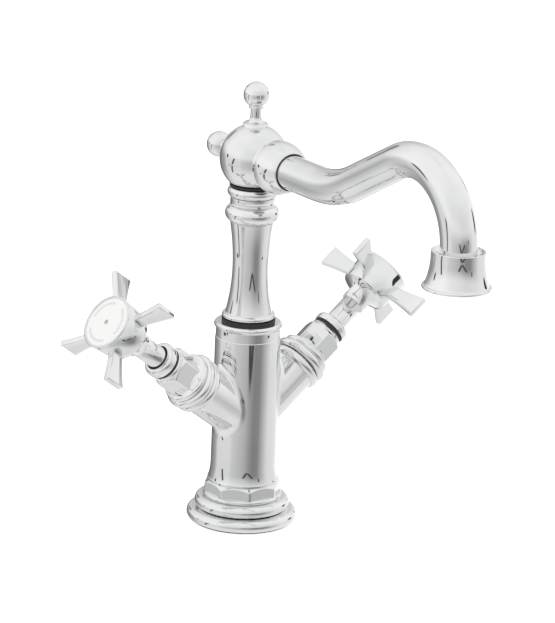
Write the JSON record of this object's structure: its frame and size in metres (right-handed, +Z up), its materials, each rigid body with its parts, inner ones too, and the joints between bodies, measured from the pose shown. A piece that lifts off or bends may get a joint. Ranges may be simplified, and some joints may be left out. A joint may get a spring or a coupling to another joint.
{
  "type": "basin mixer tap",
  "caption": "Deck-mounted basin mixer with a turned column, two angled cross-head valves, a ball head with finials and an arched swivel spout that ends in a bell outlet.",
  "frame": {"origin": "centre of the foot on the deck, on the body's upright axis", "axes": "+Z up along the body, -Y the way the spout reaches when it stands straight ahead, -X the hot valve's side and +X the cold valve's side"},
  "size_m": [0.1979, 0.2151, 0.2171],
  "materials": {
    "chrome_plated_brass": "polished chrome plate",
    "black_rubber": "smooth black rubber",
    "raw_brass": "machined brass",
    "stainless_steel": "machined steel",
    "grey_plastic": "moulded plastic",
    "valve_ceramic": "lapped ceramic",
    "white_index": "glazed white"
  },
  "bodies": {
    "tap_body": {"base_seal": "black_rubber", "base_flange": "chrome_plated_brass", "base_nut": "chrome_plated_brass", "body_shank": "raw_brass", "mixer_body": "chrome_plated_brass", "spout_stop_screw": "stainless_steel", "swivel_washer": "black_rubber", "hot_seat_seal": "black_rubber", "hot_fixed_disc": "valve_ceramic", "hot_cartridge": "raw_brass", "hot_bonnet": "chrome_plated_brass", "hot_cap_seal": "black_rubber", "hot_cap": "chrome_plated_brass", "hot_gland_ring": "black_rubber", "cold_seat_seal": "black_rubber", "cold_fixed_disc": "valve_ceramic", "cold_cartridge": "raw_brass", "cold_bonnet": "chrome_plated_brass", "cold_cap_seal": "black_rubber", "cold_cap": "chrome_plated_brass", "cold_gland_ring": "black_rubber"},
    "spout": {"swivel_stem": "raw_brass", "stem_o_rings": "black_rubber", "pillar": "chrome_plated_brass", "head_seat_ring": "chrome_plated_brass", "head_seal": "black_rubber", "ball_head": "chrome_plated_brass", "top_finial": "chrome_plated_brass", "rear_finial": "chrome_plated_brass", "spout_nut": "chrome_plated_brass", "spout_nut_seal": "black_rubber", "tube_ferrule": "raw_brass", "spout_tube": "chrome_plated_brass", "outlet_bell": "chrome_plated_brass", "aerator_washer": "black_rubber", "aerator_housing": "grey_plastic", "aerator_insert": "grey_plastic"},
    "hot_handle": {"hot_turning_disc": "valve_ceramic", "hot_spindle": "raw_brass", "hot_sleeve": "chrome_plated_brass", "hot_cross_handle": "chrome_plated_brass", "hot_handle_screw": "stainless_steel", "hot_index_disc": "white_index", "hot_bezel": "chrome_plated_brass"},
    "cold_handle": {"cold_turning_disc": "valve_ceramic", "cold_spindle": "raw_brass", "cold_sleeve": "chrome_plated_brass", "cold_cross_handle": "chrome_plated_brass", "cold_handle_screw": "stainless_steel", "cold_index_disc": "white_index", "cold_bezel": "chrome_plated_brass"}
  },
  "joints": [
    {"name": "spout_swivel", "type": "hinge", "parent": "tap_body", "child": "spout", "pos_m": [0, 0, 0.1], "axis": [0, 0, 1], "range_deg": [-54.5, 65.5]},
    {"name": "hot_handle_turn", "type": "hinge", "parent": "tap_body", "child": "hot_handle", "pos_m": [0, 0, 0.0501], "axis": [-0.8049, 0, 0.5934], "range_deg": [0, 90]},
    {"name": "cold_handle_turn", "type": "hinge", "parent": "tap_body", "child": "cold_handle", "pos_m": [0, 0, 0.0501], "axis": [-0.8049, 0, -0.5934], "range_deg": [0, 90]}
  ]
}
